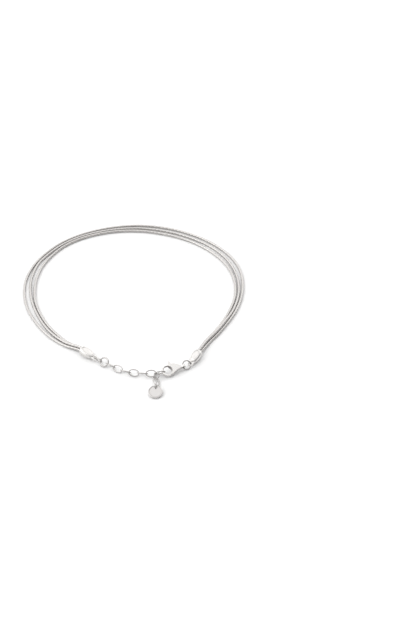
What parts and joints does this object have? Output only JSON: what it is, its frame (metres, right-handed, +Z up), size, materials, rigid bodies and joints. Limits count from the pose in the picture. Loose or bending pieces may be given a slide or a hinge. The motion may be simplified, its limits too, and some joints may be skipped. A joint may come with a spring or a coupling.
{
  "type": "anklet",
  "caption": "Payal anklet of snake chain strands held in almond end caps, with a cable extender, a lobster clasp and a small disc drop, laid out as a closed loop.",
  "frame": {"origin": "middle of the footprint of the laid-out anklet, on the surface it lies on", "axes": "+Z up from the surface, +X to the right and +Y away from the clasp, as the picture shows it"},
  "size_m": [0.0824, 0.097, 0.0033],
  "materials": {
    "silver_strand": "bright, fine ring texture with small cut facets",
    "silver_cap": "soft polish with a satin field",
    "silver_wire": "polished round wire",
    "silver_clasp": "polished casting",
    "silver_disc": "satin face and polished rim"
  },
  "bodies": {
    "anklet": {"strand_1": "silver_strand", "strand_2": "silver_strand", "strand_3": "silver_strand", "end_cap_left": "silver_cap", "end_cap_right": "silver_cap", "cap_loop": "silver_wire", "jump_ring_1": "silver_wire", "link_1": "silver_wire", "link_2": "silver_wire", "link_3": "silver_wire", "link_4": "silver_wire", "link_5": "silver_wire", "link_6": "silver_wire", "link_7": "silver_wire", "tail_link_1": "silver_wire", "tail_link_2": "silver_wire", "disc_ring": "silver_wire", "disc": "silver_disc", "clasp_body": "silver_clasp", "jump_ring_2": "silver_wire"},
    "lever": {"clasp_lever": "silver_clasp"}
  },
  "joints": [
    {"name": "lever_hinge", "type": "hinge", "parent": "anklet", "child": "lever", "pos_m": [0.01551, -0.03624, 0.00107], "axis": [-0.1783, 0.4005, -0.8988], "range_deg": [0, 24], "stiffness_Nm_per_rad": 0.0005, "springref_deg": -20.05}
  ]
}
